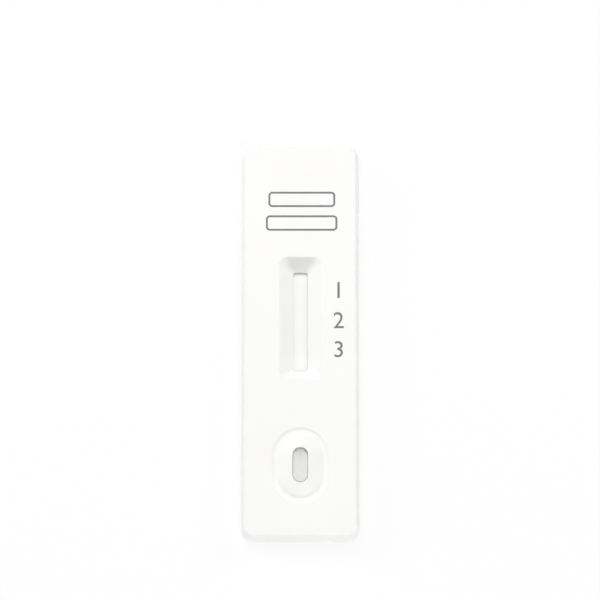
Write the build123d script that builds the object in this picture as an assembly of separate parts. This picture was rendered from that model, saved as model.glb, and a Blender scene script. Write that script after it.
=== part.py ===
from build123d import *
from math import atan2, degrees
import os

# Lateral flow cassette: two moulded half shells that are pinned together over a paper test strip.
# Millimetres. X runs across the case, +Y towards its printed end, +Z up.
# The origin is the middle of the underside.

# Lengths along the case, from its upper end to its lower end
upper_end_to_slot = 22.6
slot_length = 17.6
slot_to_port = 16.9
port_to_lower_end = 12.9

# Case
case_width = 20.6
case_corner_radius = 2.2
lower_height = 2.0
lower_side_lean = 0.1
upper_side_lean = 0.6
underside_radius = 0.3
top_edge_radius = 0.2
seam_bevel = 0.08
side_wall = 1.2
floor_thickness = 0.9
plate_thickness = 1.0

# Test strip
strip_width = 4.0
strip_end_room = 5.0
card_thickness = 0.3
membrane_thickness = 0.15
conjugate_length = 6.0
conjugate_thickness = 0.4
sample_thickness = 0.8
absorbent_thickness = 0.9
pad_overlap = 2.0
drape_run = 0.6
pad_hump_height = 1.5
pad_hump_bevel = 0.2

# Read window: the slot, the sloping sides round it and the funnel under them
slot_width = 2.6
slot_corner_radius = 0.55
upper_slope_run = 2.4
side_slope_run = 2.35
lower_slope_run = 1.9
recess_corner_radius = 1.2
recess_rim_radius = 0.15
lip_height = 0.3
funnel_wall = 0.9

# Sample port: the slot on top of a low cone that stands in a shallow dish
port_slot_width = 2.7
port_slot_length = 6.2
port_lip = 0.15
port_slope_run = 2.5
port_height = 0.9
dish_margin = 0.95
dish_depth = 0.2
dish_side_lean = 0.45
collar_wall = 0.8

# Saddles, end stops and press bars that hold the strip
bed_height = 0.6
saddle_count = 7
saddle_thickness = 0.8
saddle_shoulder = 0.9
stop_thickness = 0.8
press_bar_height = 0.3
press_bar_thickness = 0.8
end_bar_inset = 1.5

# Pins of the upper shell and sockets of the lower one
pin_rows = 4
pin_end_inset = 5.0
pin_diameter = 1.8
pin_tip_bevel = 0.25
socket_wall = 0.7
post_bite = 0.2

# Clearances
strip_side_gap = 0.15
strip_end_gap = 0.15
membrane_gap = 0.25
pad_gap = 0.1
pad_hump_gap = 0.1
pad_to_funnel_gap = 1.1
pin_gap = 0.05
pin_end_gap = 0.2

# How near to an outline an edge counts as lying on it
rim_tolerance = 0.01

# Heights: floor, saddles, card and pads, then the shortest press bar and the top plate
seam_z = lower_height
bed_z = floor_thickness + bed_height
card_top_z = bed_z + card_thickness
membrane_top_z = card_top_z + membrane_thickness
sample_top_z = card_top_z + sample_thickness
absorbent_top_z = card_top_z + absorbent_thickness
sample_lap_top_z = sample_top_z + conjugate_thickness
conjugate_lap_top_z = membrane_top_z + conjugate_thickness
absorbent_lap_top_z = absorbent_top_z + membrane_thickness
plate_underside_z = sample_lap_top_z + pad_gap + press_bar_height
top_z = plate_underside_z + plate_thickness
upper_height = top_z - seam_z
lip_bottom_z = membrane_top_z + membrane_gap
lip_top_z = lip_bottom_z + lip_height
dish_floor_z = top_z - dish_depth
port_top_z = dish_floor_z + port_height

# Places along the case
case_length = upper_end_to_slot + slot_length + slot_to_port + port_to_lower_end
slot_upper_y = case_length / 2 - upper_end_to_slot
slot_lower_y = slot_upper_y - slot_length
port_y = slot_lower_y - slot_to_port
strip_upper_y = case_length / 2 - strip_end_room
strip_lower_y = -case_length / 2 + strip_end_room
conjugate_upper_y = slot_lower_y - funnel_wall - pad_to_funnel_gap
conjugate_lower_y = conjugate_upper_y - conjugate_length
sample_upper_y = conjugate_lower_y + pad_overlap
absorbent_lower_y = slot_upper_y + funnel_wall + pad_to_funnel_gap
membrane_lower_y = conjugate_upper_y - pad_overlap
membrane_upper_y = absorbent_lower_y + pad_overlap

# Pins stand in two columns, their posts biting a little into the side walls
post_radius = pin_diameter / 2 + pin_gap + socket_wall
pin_x = case_width / 2 - side_wall - post_radius + post_bite
pin_row_pitch = (case_length - 2 * pin_end_inset) / (pin_rows - 1)
pin_places = [
    (side * pin_x, case_length / 2 - pin_end_inset - row * pin_row_pitch)
    for side in (-1, 1)
    for row in range(pin_rows)
]


def leaning_block(length, width, radius, height, lean):
    """Rounded block on z = 0 whose sides lean in by the given amount on the way up."""
    outline = RectangleRounded(width, length, radius)
    return extrude(outline, amount=height, taper=degrees(atan2(lean, height)))


def half_shell(height, lean, plate, edge_radius):
    """Open tray standing on its seam, with leaning walls of one thickness under a flat plate."""
    block = leaning_block(case_length, case_width, case_corner_radius, height, lean)
    block = fillet(block.faces().sort_by(Axis.Z)[-1].edges(), edge_radius)
    block = chamfer(block.faces().sort_by(Axis.Z)[0].edges(), seam_bevel)
    hollow_height = height - plate
    hollow = leaning_block(
        case_length - 2 * side_wall,
        case_width - 2 * side_wall,
        case_corner_radius - side_wall,
        hollow_height,
        lean * hollow_height / height,
    )
    return block - hollow


def window_outline(slope_share, growth):
    """Rounded outline of the window, from the slot (0) to the rim of the recess (1), grown all round."""
    half_width = slot_width / 2 + slope_share * side_slope_run + growth
    upper_y = slot_upper_y + slope_share * upper_slope_run + growth
    lower_y = slot_lower_y - slope_share * lower_slope_run - growth
    radius = slot_corner_radius + slope_share * (recess_corner_radius - slot_corner_radius) + growth
    outline = RectangleRounded(2 * half_width, upper_y - lower_y, radius)
    return Pos(0, (upper_y + lower_y) / 2) * outline


def window_form(growth):
    """Solid of the window: straight through the lip, then sloping out to the top plate."""
    slot = Pos(0, 0, lip_bottom_z) * extrude(window_outline(0, growth), amount=lip_height)
    slope = loft(
        [Pos(0, 0, lip_top_z) * window_outline(0, growth), Pos(0, 0, top_z) * window_outline(1, growth)],
        ruled=True,
    )
    return slot + slope


def port_outline(growth):
    """Long round-ended outline of the sample port's slot, grown all round."""
    slot = SlotOverall(port_slot_length + 2 * growth, port_slot_width + 2 * growth, rotation=90)
    return Pos(0, port_y) * slot


def rim_edges(shell, half_width, lower_y, upper_y):
    """Edges of the top plate round the opening that fills this half width and stretch of the case."""
    return [
        edge
        for edge in shell.edges().filter_by_position(Axis.Z, top_z, top_z)
        if abs(edge.center().X) <= half_width + rim_tolerance
        and lower_y - rim_tolerance <= edge.center().Y <= upper_y + rim_tolerance
    ]


def press_bar(y, pad_top_z):
    """Bar under the top plate that holds a pad down along one line across the strip."""
    height = plate_underside_z - pad_top_z - pad_gap
    bar = Box(strip_width, press_bar_thickness, height, align=(Align.CENTER, Align.CENTER, Align.MAX))
    return Pos(0, y, plate_underside_z) * bar


def upper_shell():
    shell = Pos(0, 0, seam_z) * half_shell(upper_height, upper_side_lean, plate_thickness, top_edge_radius)

    # Read window: the funnel hangs from the plate, and its inside is cut through both
    funnel = window_form(funnel_wall)
    window = window_form(0)
    window_through = Pos(0, 0, seam_z) * extrude(window_outline(0, 0), amount=lip_top_z - seam_z)
    shell = shell + funnel - window - window_through
    recess_half_width = slot_width / 2 + side_slope_run
    recess_lower_y = slot_lower_y - lower_slope_run
    recess_upper_y = slot_upper_y + upper_slope_run
    rim = rim_edges(shell, recess_half_width, recess_lower_y, recess_upper_y)
    shell = fillet(rim, recess_rim_radius)

    # Sample port: dish, cone, collar and the slot through them
    cone_foot = port_lip + port_slope_run
    dish_side = degrees(atan2(dish_side_lean, dish_depth))
    dish = extrude(port_outline(cone_foot + dish_margin), amount=-dish_depth, taper=dish_side)
    cone_side = degrees(atan2(port_slope_run, port_height))
    cone = extrude(port_outline(cone_foot), amount=port_height, taper=cone_side)
    collar_height = plate_underside_z - sample_top_z - pad_gap
    collar = extrude(port_outline(collar_wall), amount=-collar_height)
    port_slot = extrude(port_outline(0), amount=port_top_z - seam_z)
    shell = shell - Pos(0, 0, top_z) * dish
    shell = shell + Pos(0, 0, dish_floor_z) * cone + Pos(0, 0, plate_underside_z) * collar
    shell = shell - Pos(0, 0, seam_z) * port_slot

    # Press bars over each lap of the strip, and near its two ends
    shell = shell + press_bar(strip_lower_y + end_bar_inset, sample_top_z)
    shell = shell + press_bar(sample_upper_y - pad_overlap / 2, sample_lap_top_z)
    shell = shell + press_bar(conjugate_upper_y - pad_overlap / 2, conjugate_lap_top_z)
    shell = shell + press_bar(absorbent_lower_y + pad_overlap / 2, absorbent_lap_top_z)
    shell = shell + press_bar(strip_upper_y - end_bar_inset, absorbent_top_z)

    # Pins: a shoulder down to the seam, then the pin that enters its socket
    shoulder = extrude(Circle(post_radius), amount=plate_underside_z - seam_z)
    pin_length = seam_z - floor_thickness - pin_end_gap
    pin = extrude(Circle(pin_diameter / 2), amount=-pin_length)
    pin = chamfer(pin.edges().sort_by(Axis.Z)[0], pin_tip_bevel)
    for x, y in pin_places:
        shell = shell + Pos(x, y, seam_z) * shoulder + Pos(x, y, seam_z) * pin
    return shell


def saddle():
    """Cross rib with a shallow seat for the strip between two shoulders."""
    seat_half = strip_width / 2 + strip_side_gap
    outer_half = seat_half + saddle_shoulder
    with BuildPart() as rib:
        with BuildSketch(Plane.XZ):
            with BuildLine():
                Polyline(
                    (-outer_half, floor_thickness),
                    (-outer_half, membrane_top_z),
                    (-seat_half, membrane_top_z),
                    (-seat_half, bed_z),
                    (seat_half, bed_z),
                    (seat_half, membrane_top_z),
                    (outer_half, membrane_top_z),
                    (outer_half, floor_thickness),
                    close=True,
                )
            make_face()
        extrude(amount=saddle_thickness / 2, both=True)
    return rib.part


def lower_shell():
    tray = half_shell(lower_height, lower_side_lean, floor_thickness, underside_radius)
    shell = Pos(0, 0, seam_z) * mirror(tray, about=Plane.XY)

    # Saddles spread evenly under the strip
    first_y = strip_lower_y + saddle_thickness
    last_y = strip_upper_y - saddle_thickness
    for number in range(saddle_count):
        y = first_y + (last_y - first_y) * number / (saddle_count - 1)
        shell = shell + Pos(0, y) * saddle()

    # End stops just past both ends of the strip
    stop_height = membrane_top_z - floor_thickness
    for end, strip_end_y in ((1, strip_upper_y), (-1, strip_lower_y)):
        stop_y = strip_end_y + end * (strip_end_gap + stop_thickness / 2)
        stop = Box(strip_width, stop_thickness, stop_height, align=(Align.CENTER, Align.CENTER, Align.MIN))
        shell = shell + Pos(0, stop_y, floor_thickness) * stop

    # Sockets: posts up to the seam, with six-sided holes down to the floor that take the round pins
    post = extrude(Circle(post_radius), amount=seam_z - floor_thickness)
    hole = RegularPolygon(pin_diameter / 2 + pin_gap, 6, major_radius=False)
    bore = extrude(hole, amount=seam_z - floor_thickness)
    for x, y in pin_places:
        shell = shell + Pos(x, y, floor_thickness) * post
    for x, y in pin_places:
        shell = shell - Pos(x, y, floor_thickness) * bore
    return shell


def flat_piece(lower_y, upper_y, bottom_z, thickness):
    """Flat layer of the strip."""
    layer = Box(strip_width, upper_y - lower_y, thickness, align=(Align.CENTER, Align.MIN, Align.MIN))
    return Pos(0, lower_y, bottom_z) * layer


def draped_pad(low_end_y, step_y, high_end_y, step_height, thickness):
    """Pad that lies on the card and climbs over the edge of the piece under its lap."""
    way = 1 if high_end_y > low_end_y else -1
    underside = [
        (low_end_y, card_top_z),
        (step_y - way * drape_run, card_top_z),
        (step_y, card_top_z + step_height),
        (high_end_y, card_top_z + step_height),
    ]
    upside = [(y, z + thickness) for y, z in reversed(underside)]
    with BuildPart() as pad:
        with BuildSketch(Plane.YZ):
            with BuildLine():
                Polyline(*underside, *upside, close=True)
            make_face()
        extrude(amount=strip_width / 2, both=True)
    return pad.part


def sample_pad():
    """Sample pad, which the collar squeezes into a long hump in the slot of the port."""
    pad = draped_pad(strip_lower_y, conjugate_lower_y, sample_upper_y, conjugate_thickness, sample_thickness)
    hump = extrude(port_outline(-pad_hump_gap), amount=pad_hump_height)
    hump = chamfer(hump.faces().sort_by(Axis.Z)[-1].edges(), pad_hump_bevel)
    return pad + Pos(0, 0, sample_top_z) * hump


pieces = {
    "upper_shell": upper_shell(),
    "lower_shell": lower_shell(),
    "backing_card": flat_piece(strip_lower_y, strip_upper_y, bed_z, card_thickness),
    "membrane": flat_piece(membrane_lower_y, membrane_upper_y, card_top_z, membrane_thickness),
    "conjugate_pad": draped_pad(
        conjugate_lower_y, membrane_lower_y, conjugate_upper_y, membrane_thickness, conjugate_thickness
    ),
    "sample_pad": sample_pad(),
    "absorbent_pad": draped_pad(
        strip_upper_y, membrane_upper_y, absorbent_lower_y, membrane_thickness, absorbent_thickness
    ),
}

os.makedirs("parts", exist_ok=True)
for name, shape in pieces.items():
    export_step(shape, f"parts/{name}.step")
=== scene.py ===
import math
import random

import bmesh
import bpy
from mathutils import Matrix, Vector, noise


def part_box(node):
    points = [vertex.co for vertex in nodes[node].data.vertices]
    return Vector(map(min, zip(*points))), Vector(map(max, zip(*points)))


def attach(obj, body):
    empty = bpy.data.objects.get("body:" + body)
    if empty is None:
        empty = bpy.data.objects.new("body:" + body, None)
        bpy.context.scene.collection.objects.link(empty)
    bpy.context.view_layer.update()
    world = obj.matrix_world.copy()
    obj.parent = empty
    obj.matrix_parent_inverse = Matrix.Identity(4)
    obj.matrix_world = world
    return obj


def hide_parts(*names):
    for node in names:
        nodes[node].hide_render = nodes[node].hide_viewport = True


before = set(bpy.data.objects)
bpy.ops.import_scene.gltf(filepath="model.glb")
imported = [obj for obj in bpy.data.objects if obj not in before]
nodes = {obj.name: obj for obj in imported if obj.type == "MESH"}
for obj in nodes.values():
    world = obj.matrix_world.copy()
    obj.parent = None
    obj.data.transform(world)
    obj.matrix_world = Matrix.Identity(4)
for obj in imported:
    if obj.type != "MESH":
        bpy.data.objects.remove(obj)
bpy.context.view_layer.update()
collection = bpy.context.collection
mm = 0.001

# Camera
# The photograph looks down on the cassette from far away, leaning a little towards its sample end,
# with the cassette below the middle of the picture.
camera_tilt = math.radians(11.75)
camera_distance = 900 * mm
picture_width = 104.9 * mm
picture_middle = Vector((-0.05, 7.61, 2.0)) * mm

camera_data = bpy.data.cameras.new("photograph_view")
camera_data.lens = camera_data.sensor_width * camera_distance / picture_width
camera = bpy.data.objects.new("photograph_view", camera_data)
collection.objects.link(camera)
towards_camera = Vector((0, -math.sin(camera_tilt), math.cos(camera_tilt)))
camera.location = picture_middle + camera_distance * towards_camera
camera.rotation_euler = (camera_tilt, 0, 0)
bpy.context.scene.camera = camera
bpy.context.scene.view_settings.view_transform = "Standard"

# Floor
# A large sheet of white paper under the cassette. The camera sees it as nearly plain white, and
# the small rest is the paper under its own light, where the shadow of the cassette still shows.
paper_half = 2.0
plain_white_share = 0.85
paper_white = (0.94, 0.94, 0.94, 1)

paper_mesh = bpy.data.meshes.new("floor")
paper_corners = [(x * paper_half, y * paper_half, 0) for x, y in ((-1, -1), (1, -1), (1, 1), (-1, 1))]
paper_mesh.from_pydata(paper_corners, [], [(0, 1, 2, 3)])
floor = bpy.data.objects.new("floor", paper_mesh)
collection.objects.link(floor)


def seen_as_backdrop(tree):
    """1 where the camera sees the paper or the room, also by a reflection or through a clear thing."""
    ray = tree.nodes.new("ShaderNodeLightPath")
    seen = ray.outputs["Is Camera Ray"]
    for way in ("Is Glossy Ray", "Is Transmission Ray"):
        either = tree.nodes.new("ShaderNodeMath")
        either.operation = "MAXIMUM"
        tree.links.new(seen, either.inputs[0])
        tree.links.new(ray.outputs[way], either.inputs[1])
        seen = either.outputs[0]
    return seen


floor_paper = bpy.data.materials.new("white_paper")
floor_paper.use_nodes = True
tree = floor_paper.node_tree
paper = tree.nodes["Principled BSDF"]
paper.inputs["Base Color"].default_value = paper_white
paper.inputs["Roughness"].default_value = 1.0
paper.inputs["Specular IOR Level"].default_value = 0.0
plain_white = tree.nodes.new("ShaderNodeEmission")
plain_white.inputs["Strength"].default_value = 1.0
share = tree.nodes.new("ShaderNodeMath")
share.operation = "MULTIPLY"
share.inputs[1].default_value = plain_white_share
tree.links.new(seen_as_backdrop(tree), share.inputs[0])
blend = tree.nodes.new("ShaderNodeMixShader")
tree.links.new(share.outputs[0], blend.inputs["Fac"])
tree.links.new(paper.outputs["BSDF"], blend.inputs[1])
tree.links.new(plain_white.outputs["Emission"], blend.inputs[2])
tree.links.new(blend.outputs["Shader"], tree.nodes["Material Output"].inputs["Surface"])
paper_mesh.materials.append(floor_paper)

# Light
# A white room and eight soft lamps round the cassette, each given by its height angle, its turn from
# the +X side, its size and its strength. Most light comes from the printed end, which leaves slopes
# that face away in soft shade. The three low lamps reach the upright walls, the last of them from
# just above the floor.
room_strength = 0.15
lamp_distance = 1.0
white_sheet_power = math.pi ** 2 * lamp_distance ** 2
lamps = {
    "end_left_lamp": (30, 150, 0.39, 0.278),
    "end_right_lamp": (30, 30, 0.39, 0.259),
    "upper_left_lamp": (50, 120, 0.39, 0.208),
    "high_end_lamp": (70, 90, 0.39, 0.266),
    "upper_right_lamp": (50, 300, 0.39, 0.272),
    "low_left_lamp": (14, 180, 0.39, 0.15),
    "low_right_lamp": (5, 330, 0.14, 0.08),
    "low_end_lamp": (1, 270, 0.035, 0.28),
}

room = bpy.data.worlds.new("white_room")
room.use_nodes = True
tree = room.node_tree
room_light = tree.nodes["Background"]
room_light.inputs["Color"].default_value = (1, 1, 1, 1)
seen_strength = tree.nodes.new("ShaderNodeMapRange")
seen_strength.inputs["To Min"].default_value = room_strength
seen_strength.inputs["To Max"].default_value = 1.0
tree.links.new(seen_as_backdrop(tree), seen_strength.inputs["Value"])
tree.links.new(seen_strength.outputs["Result"], room_light.inputs["Strength"])
bpy.context.scene.world = room

for name, (height_angle, turn, size, strength) in lamps.items():
    lamp = bpy.data.lights.new(name, "AREA")
    lamp.size = size
    lamp.energy = white_sheet_power * strength
    softbox = bpy.data.objects.new(name, lamp)
    collection.objects.link(softbox)
    rise = math.radians(height_angle)
    bearing = math.radians(turn)
    away = Vector((math.cos(rise) * math.cos(bearing), math.cos(rise) * math.sin(bearing), math.sin(rise)))
    softbox.location = lamp_distance * away
    softbox.rotation_euler = away.to_track_quat("Z", "Y").to_euler()
    softbox.visible_camera = False


# Shells
# The two halves of the case, injection moulded in opaque white polystyrene from a finely blasted
# mould. The pins of the upper half stand in the sockets of the lower one and hold the two together.
def new_effect(name, sizes, patterns):
    """Shader group that takes sizes in metres and puts out patterns."""
    effect = bpy.data.node_groups.new(name, "ShaderNodeTree")
    for size_name, size in sizes:
        socket = effect.interface.new_socket(name=size_name, in_out="INPUT", socket_type="NodeSocketFloat")
        socket.default_value = size
    for pattern_name in patterns:
        effect.interface.new_socket(name=pattern_name, in_out="OUTPUT", socket_type="NodeSocketFloat")
    place = effect.nodes.new("ShaderNodeTexCoord").outputs["Object"]
    return effect, effect.nodes.new("NodeGroupInput"), effect.nodes.new("NodeGroupOutput"), place


def per_metre(effect, size):
    """How many spots of a size go into a metre."""
    step = effect.nodes.new("ShaderNodeMath")
    step.operation = "DIVIDE"
    step.inputs[0].default_value = 1.0
    effect.links.new(size, step.inputs[1])
    return step.outputs[0]


# Blasted mould face: fine grain, and faint clouds where the plastic flowed unevenly
mould_face, face_in, face_out, face_place = new_effect(
    "blasted_mould_face", (("Grain Size", 0.1 * mm), ("Cloud Size", 8 * mm)), ("Grain", "Clouds")
)
for size_name, pattern_name, detail in (("Grain Size", "Grain", 3.0), ("Cloud Size", "Clouds", 2.0)):
    spots = mould_face.nodes.new("ShaderNodeTexNoise")
    spots.inputs["Detail"].default_value = detail
    mould_face.links.new(face_place, spots.inputs["Vector"])
    mould_face.links.new(per_metre(mould_face, face_in.outputs[size_name]), spots.inputs["Scale"])
    mould_face.links.new(spots.outputs["Fac"], face_out.inputs[pattern_name])


def new_finish(name, specular):
    """Material with its node tree and its one Principled BSDF."""
    finish = bpy.data.materials.new(name)
    finish.use_nodes = True
    surface = finish.node_tree.nodes["Principled BSDF"]
    surface.inputs["Specular IOR Level"].default_value = specular
    return finish, finish.node_tree, surface


def lay_effect(tree, effect, sizes):
    """One use of an effect in a material, with the material's own sizes."""
    use = tree.nodes.new("ShaderNodeGroup")
    use.node_tree = effect
    for size_name, size in sizes.items():
        use.inputs[size_name].default_value = size
    return use.outputs


def tint(tree, surface, pattern, span, dark, light):
    """Colour that goes from dark to light as the pattern goes from one end of the span to the other."""
    ramp = tree.nodes.new("ShaderNodeValToRGB")
    ramp.color_ramp.elements[0].position = span[0]
    ramp.color_ramp.elements[0].color = (*dark, 1)
    ramp.color_ramp.elements[1].position = span[1]
    ramp.color_ramp.elements[1].color = (*light, 1)
    tree.links.new(pattern, ramp.inputs["Fac"])
    tree.links.new(ramp.outputs["Color"], surface.inputs["Base Color"])


def dull(tree, surface, pattern, roughness):
    """Roughness that follows a pattern between two values."""
    spread = tree.nodes.new("ShaderNodeMapRange")
    spread.inputs["To Min"].default_value = roughness[0]
    spread.inputs["To Max"].default_value = roughness[1]
    tree.links.new(pattern, spread.inputs["Value"])
    tree.links.new(spread.outputs["Result"], surface.inputs["Roughness"])


def emboss(tree, surface, pattern, depth, share):
    """Relief of a real depth that follows a pattern, of which a share shows."""
    bump = tree.nodes.new("ShaderNodeBump")
    bump.inputs["Distance"].default_value = depth
    bump.inputs["Strength"].default_value = share
    tree.links.new(pattern, bump.inputs["Height"])
    tree.links.new(bump.outputs["Normal"], surface.inputs["Normal"])


shell_specular = 0.4
shell_dark = (0.886, 0.881, 0.871)
shell_light = (0.902, 0.898, 0.89)
shell_roughness = (0.38, 0.55)
shell_relief = 0.012 * mm
shell_relief_share = 0.35
cloud_span = (0.3, 0.7)

shell_plastic, tree, surface = new_finish("white_moulded_plastic", shell_specular)
face = lay_effect(tree, mould_face, {"Grain Size": 0.12 * mm, "Cloud Size": 9 * mm})
tint(tree, surface, face["Clouds"], cloud_span, shell_dark, shell_light)
dull(tree, surface, face["Grain"], shell_roughness)
emboss(tree, surface, face["Grain"], shell_relief, shell_relief_share)
for name in ("upper_shell", "lower_shell"):
    for slot in nodes[name].material_slots:
        slot.material = shell_plastic

# Backing card
# A thin strip of smooth white polystyrene with glue on its face. The membrane and the pads are laid
# on it in wide sheets, which are then cut into strips.
card_specular = 0.5
card_dark = (0.86, 0.86, 0.85)
card_light = (0.89, 0.89, 0.88)
card_roughness = (0.3, 0.42)

card_plastic, tree, surface = new_finish("white_card", card_specular)
face = lay_effect(tree, mould_face, {"Grain Size": 0.3 * mm, "Cloud Size": 5 * mm})
tint(tree, surface, face["Clouds"], cloud_span, card_dark, card_light)
dull(tree, surface, face["Grain"], card_roughness)
for slot in nodes["backing_card"].material_slots:
    slot.material = card_plastic

# Membrane
# The bright white strip in the read window: a cast film full of fine pores, glued to the card.
# Before use it shows no line.
film_specular = 0.15
film_dark = (0.94, 0.939, 0.934)
film_light = (0.96, 0.959, 0.955)
film_roughness = (0.7, 0.95)
pore_relief = 0.01 * mm
pore_relief_share = 0.5

membrane_film, tree, surface = new_finish("porous_film", film_specular)
pores = lay_effect(tree, mould_face, {"Grain Size": 0.05 * mm, "Cloud Size": 2.5 * mm})
tint(tree, surface, pores["Clouds"], cloud_span, film_dark, film_light)
dull(tree, surface, pores["Grain"], film_roughness)
emboss(tree, surface, pores["Grain"], pore_relief, pore_relief_share)
for slot in nodes["membrane"].material_slots:
    slot.material = membrane_film

# Pads
# Soft sheets of matted fibre, cut to the strip's width and stuck down at one end, which climb over
# the edge of the layer under their other end. The sample pad is squeezed by the ring round the port
# and stands up in the port's slot as a long hump.
sample_thickness = 0.8 * mm
climb_run = 0.6 * mm
felt_step = 0.16 * mm
felt_edge_round = 0.12 * mm
felt_relief = 0.035 * mm
felt_lump_size = 0.35 * mm
felt_specular = 0.1
felt_roughness = 0.95
felt_tone_span = (0.45, 0.75)
fibre_relief = 0.03 * mm
fibre_relief_share = 0.6
# Painted shade: the sample pad's fibre is white, but its two tones are set grey to show the shade it lies
# in down the port's slot. The change between the two tones follows the fibres' own pattern.
sample_painted_shade_dark = (0.765, 0.765, 0.76)
sample_painted_shade_light = (0.885, 0.885, 0.88)
conjugate_dark = (0.76, 0.74, 0.72)
conjugate_light = (0.86, 0.84, 0.82)
absorbent_dark = (0.84, 0.83, 0.8)
absorbent_light = (0.9, 0.89, 0.87)
hump_half_width = 1.31 * mm
hump_half_length = 2.96 * mm
hump_shoulder = 0.14 * mm
hump_crown = 0.02 * mm
hump_root = 0.1 * mm
hump_shoulder_steps = 6
hump_rings = 9
hump_side_steps = 24
hump_middle_y = -21.99 * mm

# Matted fibres: thin ridges that cross each other at three angles
fibre_lays = (12, 71, 128)
matted_fibres, mat_in, mat_out, mat_place = new_effect(
    "matted_fibres", (("Fibre Width", 0.05 * mm), ("Fibre Length", 0.8 * mm)), ("Fibres",)
)
across = per_metre(matted_fibres, mat_in.outputs["Fibre Width"])
along = per_metre(matted_fibres, mat_in.outputs["Fibre Length"])
stretch = matted_fibres.nodes.new("ShaderNodeCombineXYZ")
matted_fibres.links.new(across, stretch.inputs["X"])
matted_fibres.links.new(along, stretch.inputs["Y"])
matted_fibres.links.new(across, stretch.inputs["Z"])
layers = []
for lay in fibre_lays:
    turned = matted_fibres.nodes.new("ShaderNodeVectorRotate")
    turned.rotation_type = "Z_AXIS"
    turned.inputs["Angle"].default_value = math.radians(lay)
    matted_fibres.links.new(mat_place, turned.inputs["Vector"])
    drawn_out = matted_fibres.nodes.new("ShaderNodeVectorMath")
    drawn_out.operation = "MULTIPLY"
    matted_fibres.links.new(turned.outputs["Vector"], drawn_out.inputs[0])
    matted_fibres.links.new(stretch.outputs["Vector"], drawn_out.inputs[1])
    streaks = matted_fibres.nodes.new("ShaderNodeTexNoise")
    streaks.inputs["Scale"].default_value = 1.0
    streaks.inputs["Detail"].default_value = 1.0
    matted_fibres.links.new(drawn_out.outputs["Vector"], streaks.inputs["Vector"])
    layers.append(streaks.outputs["Fac"])
ridges = layers[0]
for layer in layers[1:]:
    higher = matted_fibres.nodes.new("ShaderNodeMath")
    higher.operation = "MAXIMUM"
    matted_fibres.links.new(ridges, higher.inputs[0])
    matted_fibres.links.new(layer, higher.inputs[1])
    ridges = higher.outputs[0]
matted_fibres.links.new(ridges, mat_out.inputs["Fibres"])


def felt_finish(name, dark, light):
    """Dry matted fibre in one tone."""
    finish, tree, surface = new_finish(name, felt_specular)
    surface.inputs["Roughness"].default_value = felt_roughness
    mat = lay_effect(tree, matted_fibres, {"Fibre Width": 0.06 * mm, "Fibre Length": 0.8 * mm})
    tint(tree, surface, mat["Fibres"], felt_tone_span, dark, light)
    emboss(tree, surface, mat["Fibres"], fibre_relief, fibre_relief_share)
    return finish


def lumps(x, y):
    """How far the felt's top has sunk at a place, from its soft lumps."""
    return felt_relief * (0.5 + 0.5 * noise.noise(Vector((x, y, 0)) / felt_lump_size))


def felt_pad(node, finish, plain_end, step_at, lap_end, climb, thickness, hump):
    """Soft pad for a plain solid: lumpy top, rounded cut edges, a climb over the lap, and any hump."""
    low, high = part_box(node)
    rows = round(abs(lap_end - plain_end) / felt_step)
    columns = round((high.x - low.x) / felt_step)
    way = 1 if lap_end > plain_end else -1
    mesh = bmesh.new()
    top = []
    base = []
    for row in range(rows + 1):
        y = plain_end + (lap_end - plain_end) * row / rows
        climbed = min(max((y - step_at) * way / climb_run + 1, 0), 1)
        rest_z = low.z + climb * climbed
        for column in range(columns + 1):
            x = low.x + (high.x - low.x) * column / columns
            to_edge = min(x - low.x, high.x - x, abs(y - plain_end), abs(y - lap_end))
            off_round = max(0, 1 - to_edge / felt_edge_round)
            sunk = felt_edge_round * (1 - math.sqrt(1 - off_round ** 2)) + lumps(x, y)
            top.append(mesh.verts.new((x, y, rest_z + thickness - sunk)))
            base.append(mesh.verts.new((x, y, rest_z)))
    width = columns + 1
    for row in range(rows):
        for column in range(columns):
            corner = row * width + column
            cell = (corner, corner + 1, corner + 1 + width, corner + width)
            mesh.faces.new([top[i] for i in cell])
            mesh.faces.new([base[i] for i in reversed(cell)])
    border = list(range(width))
    border += [row * width + columns for row in range(1, rows + 1)]
    border += [rows * width + column for column in range(columns - 1, -1, -1)]
    border += [row * width for row in range(rows - 1, 0, -1)]
    for here, there in zip(border, border[1:] + border[:1]):
        mesh.faces.new((base[here], base[there], top[there], top[here]))
    if hump:
        raise_hump(mesh, low.z + thickness, hump)
    bmesh.ops.recalc_face_normals(mesh, faces=mesh.faces)
    felt_mesh = bpy.data.meshes.new(node + "_felt")
    mesh.to_mesh(felt_mesh)
    mesh.free()
    felt_mesh.shade_smooth()
    felt_mesh.materials.append(finish)
    pad = bpy.data.objects.new(node + "_felt", felt_mesh)
    collection.objects.link(pad)
    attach(pad, "root")
    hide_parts(node)


def round_ended_ring(half_width, half_length, steps):
    """Points round a long outline with half-round ends, as many on each end as on each side."""
    straight = half_length - half_width
    points = []
    for side in (1, -1):
        for step in range(steps):
            points.append((side * half_width, side * straight * (2 * step / steps - 1)))
        for step in range(steps):
            angle = math.pi * step / steps
            across = side * half_width * math.cos(angle)
            along = side * (straight + half_width * math.sin(angle))
            points.append((across, along))
    return points


def hump_rise(inset, height):
    """Height of the hump at a distance in from its foot: a rounded shoulder, then a low crown."""
    if inset < hump_shoulder:
        return height - hump_shoulder + math.sqrt(hump_shoulder ** 2 - (hump_shoulder - inset) ** 2)
    over = (inset - hump_shoulder) / (hump_half_width - hump_shoulder)
    return height + hump_crown * math.sin(over * math.pi / 2)


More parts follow.
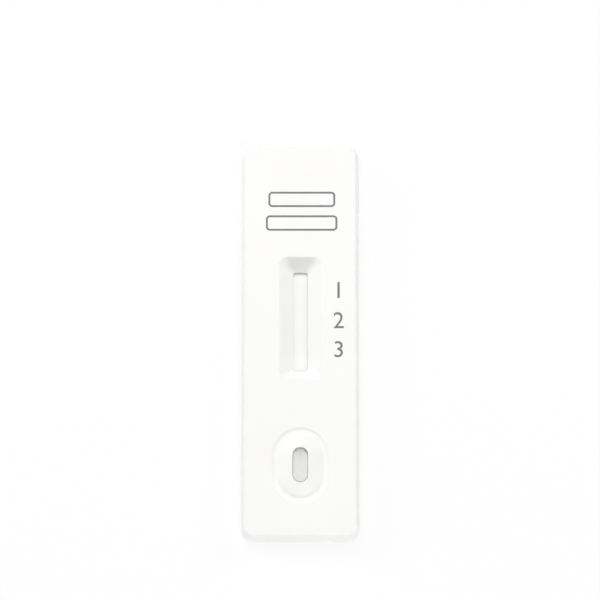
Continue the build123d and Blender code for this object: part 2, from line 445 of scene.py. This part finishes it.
def raise_hump(mesh, foot_z, height):
    """Long round-ended hump that the ring round the port squeezes up into the slot."""
    profile = [(0, -hump_root), (0, (height - hump_shoulder) / 2)]
    for step in range(hump_shoulder_steps + 1):
        inset = hump_shoulder * (1 - math.cos(math.radians(90 * step / hump_shoulder_steps)))
        profile.append((inset, hump_rise(inset, height)))
    flat = hump_half_width - hump_shoulder
    for ring in range(1, hump_rings):
        inset = hump_shoulder + flat * ring / hump_rings
        profile.append((inset, hump_rise(inset, height)))
    rings = []
    for inset, rise in profile:
        ring = []
        outline = round_ended_ring(hump_half_width - inset, hump_half_length - inset, hump_side_steps)
        for x, away in outline:
            y = hump_middle_y + away
            sunk = min(1, max(0, rise / height)) * lumps(x, y)
            ring.append(mesh.verts.new((x, y, foot_z + rise - sunk)))
        rings.append(ring)
    for lower, upper in zip(rings, rings[1:]):
        for i in range(len(lower)):
            j = (i + 1) % len(lower)
            mesh.faces.new((lower[i], lower[j], upper[j], upper[i]))
    mesh.faces.new(rings[0][::-1])
    mesh.faces.new(rings[-1])


card_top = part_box("backing_card")[1].z
membrane_low, membrane_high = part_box("membrane")
conjugate_low, conjugate_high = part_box("conjugate_pad")
sample_low, sample_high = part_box("sample_pad")
absorbent_low, absorbent_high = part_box("absorbent_pad")
membrane_thickness = membrane_high.z - card_top
conjugate_thickness = conjugate_high.z - membrane_high.z
absorbent_thickness = absorbent_high.z - membrane_high.z
hump_height = sample_high.z - card_top - sample_thickness

# The sample pad's finish carries painted shade in its grey tones.
sample_felt_painted_shade = felt_finish("sample_pad_fibre", sample_painted_shade_dark, sample_painted_shade_light)
conjugate_felt = felt_finish("conjugate_pad_fibre", conjugate_dark, conjugate_light)
absorbent_felt = felt_finish("absorbent_paper_fibre", absorbent_dark, absorbent_light)
felt_pad(
    "sample_pad", sample_felt_painted_shade,
    plain_end=sample_low.y, step_at=conjugate_low.y, lap_end=sample_high.y,
    climb=conjugate_thickness, thickness=sample_thickness, hump=hump_height,
)
felt_pad(
    "conjugate_pad", conjugate_felt,
    plain_end=conjugate_low.y, step_at=membrane_low.y, lap_end=conjugate_high.y,
    climb=membrane_thickness, thickness=conjugate_thickness, hump=0,
)
felt_pad(
    "absorbent_pad", absorbent_felt,
    plain_end=absorbent_high.y, step_at=membrane_high.y, lap_end=absorbent_low.y,
    climb=membrane_thickness, thickness=absorbent_thickness, hump=0,
)

# Loose fibres
# Short ends of fibre that stick out of the cut and squeezed felt and lie on the sample pad's hump,
# where the port shows them.
loose_fibres = 120
fibre_radius = 0.011 * mm
fibre_length = (0.4 * mm, 1.3 * mm)
fibre_bend = 1.1
fibre_points = 6
fibre_end_dip = 3 * fibre_radius
fibre_seed = 5

chance = random.Random(fibre_seed)
strands = bpy.data.curves.new("sample_pad_fibres", "CURVE")
strands.dimensions = "3D"
strands.bevel_depth = fibre_radius
strands.bevel_resolution = 0
strands.use_fill_caps = True
reach_x = hump_half_width - hump_shoulder
reach_y = hump_half_length - hump_shoulder - reach_x / 2
for number in range(loose_fibres):
    length = chance.uniform(*fibre_length)
    heading = chance.uniform(0, math.tau)
    bend = chance.uniform(-fibre_bend, fibre_bend)
    x = chance.uniform(-reach_x, reach_x)
    y = hump_middle_y + chance.uniform(-reach_y, reach_y)
    strand = strands.splines.new("POLY")
    strand.points.add(fibre_points - 1)
    for step, point in enumerate(strand.points):
        past_straight = max(0, abs(y - hump_middle_y) - (hump_half_length - hump_half_width))
        from_middle = math.hypot(x, past_straight)
        inset = max(0, hump_half_width - from_middle)
        z = card_top + sample_thickness + hump_rise(inset, hump_height) - lumps(x, y) + fibre_radius / 2
        if step in (0, fibre_points - 1):
            z -= fibre_end_dip
        point.co = (x, y, z, 1)
        x += math.cos(heading) * length / (fibre_points - 1)
        y += math.sin(heading) * length / (fibre_points - 1)
        x = min(max(x, -reach_x), reach_x)
        y = min(max(y, hump_middle_y - reach_y), hump_middle_y + reach_y)
        heading += bend / (fibre_points - 1)
outline = bpy.data.objects.new("sample_pad_fibres_path", strands)
collection.objects.link(outline)
fibre_mesh = bpy.data.meshes.new_from_object(outline)
bpy.data.objects.remove(outline)
fibre_mesh.materials.clear()
# The loose fibres take the sample pad's finish, with its painted shade.
fibre_mesh.materials.append(sample_felt_painted_shade)
fibre_mesh.shade_smooth()
fibres = bpy.data.objects.new("sample_pad_fibres", fibre_mesh)
collection.objects.link(fibres)
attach(fibres, "root")

# Print
# Grey ink, pad printed on the flat top of the upper shell: two empty fields to write in above the
# read window, and plain numbers beside it. The film is too thin to feel. The places are in mm: the
# middle across, the middle along and the width of a field, and the middle along of a number.
ink_thickness = 0.012 * mm
ink_line = 0.34 * mm
field_height = 2.75 * mm
field_corner = 0.7 * mm
field_corner_steps = 8
field_places = ((0.27, 25.1, 11.7), (0.24, 20.86, 12.5))
number_height = 2.85 * mm
number_x = 6.68 * mm
number_places = (8.89, 3.52, -1.63)
figure_half_depth = 0.5
ink_specular = 0.3
ink_dark = (0.17, 0.17, 0.175)
ink_light = (0.21, 0.21, 0.215)
ink_roughness = (0.4, 0.6)
port_rise = 0.7 * mm
plate_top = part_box("upper_shell")[1].z - port_rise

ink, tree, surface = new_finish("grey_ink", ink_specular)
film = lay_effect(tree, mould_face, {"Grain Size": 0.08 * mm, "Cloud Size": 1.5 * mm})
tint(tree, surface, film["Clouds"], cloud_span, ink_dark, ink_light)
dull(tree, surface, film["Grain"], ink_roughness)


def print_on(name, print_mesh):
    """Puts a printed film on the upper shell."""
    print_mesh.materials.clear()
    print_mesh.materials.append(ink)
    printed = bpy.data.objects.new(name, print_mesh)
    collection.objects.link(printed)
    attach(printed, "root")


def field_ring(middle_x, middle_y, width, height, corner):
    """Points round a rectangle with rounded corners."""
    points = []
    for turn, side_x, side_y in ((0, 1, 1), (90, -1, 1), (180, -1, -1), (270, 1, -1)):
        for step in range(field_corner_steps + 1):
            angle = math.radians(turn + 90 * step / field_corner_steps)
            x = middle_x + side_x * (width / 2 - corner) + corner * math.cos(angle)
            y = middle_y + side_y * (height / 2 - corner) + corner * math.sin(angle)
            points.append((x, y))
    return points


for number, (x, y, width) in enumerate(field_places, start=1):
    outer = field_ring(x * mm, y * mm, width * mm, field_height, field_corner)
    inner_size = (width * mm - 2 * ink_line, field_height - 2 * ink_line)
    inner = field_ring(x * mm, y * mm, *inner_size, field_corner - ink_line)
    mesh = bmesh.new()
    rings = []
    for points, rise in ((outer, 0), (outer, ink_thickness), (inner, ink_thickness), (inner, 0)):
        rings.append([mesh.verts.new((px, py, plate_top + rise)) for px, py in points])
    for ring, following in zip(rings, rings[1:] + rings[:1]):
        for i in range(len(ring)):
            j = (i + 1) % len(ring)
            mesh.faces.new((ring[i], ring[j], following[j], following[i]))
    bmesh.ops.recalc_face_normals(mesh, faces=mesh.faces)
    field_mesh = bpy.data.meshes.new(f"print_field_{number}")
    mesh.to_mesh(field_mesh)
    mesh.free()
    print_on(f"print_field_{number}", field_mesh)

for number, y in enumerate(number_places, start=1):
    figure = bpy.data.curves.new(f"print_number_{number}", "FONT")
    figure.body = str(number)
    figure.extrude = figure_half_depth
    outline = bpy.data.objects.new(f"print_number_{number}_outline", figure)
    collection.objects.link(outline)
    figure_mesh = bpy.data.meshes.new_from_object(outline)
    bpy.data.objects.remove(outline)
    xs = [point.co.x for point in figure_mesh.vertices]
    ys = [point.co.y for point in figure_mesh.vertices]
    scale = number_height / (max(ys) - min(ys))
    for point in figure_mesh.vertices:
        point.co.x = number_x + (point.co.x - (max(xs) + min(xs)) / 2) * scale
        point.co.y = y * mm + (point.co.y - (max(ys) + min(ys)) / 2) * scale
        point.co.z = plate_top + (figure_half_depth + point.co.z) * ink_thickness
    print_on(f"print_number_{number}", figure_mesh)
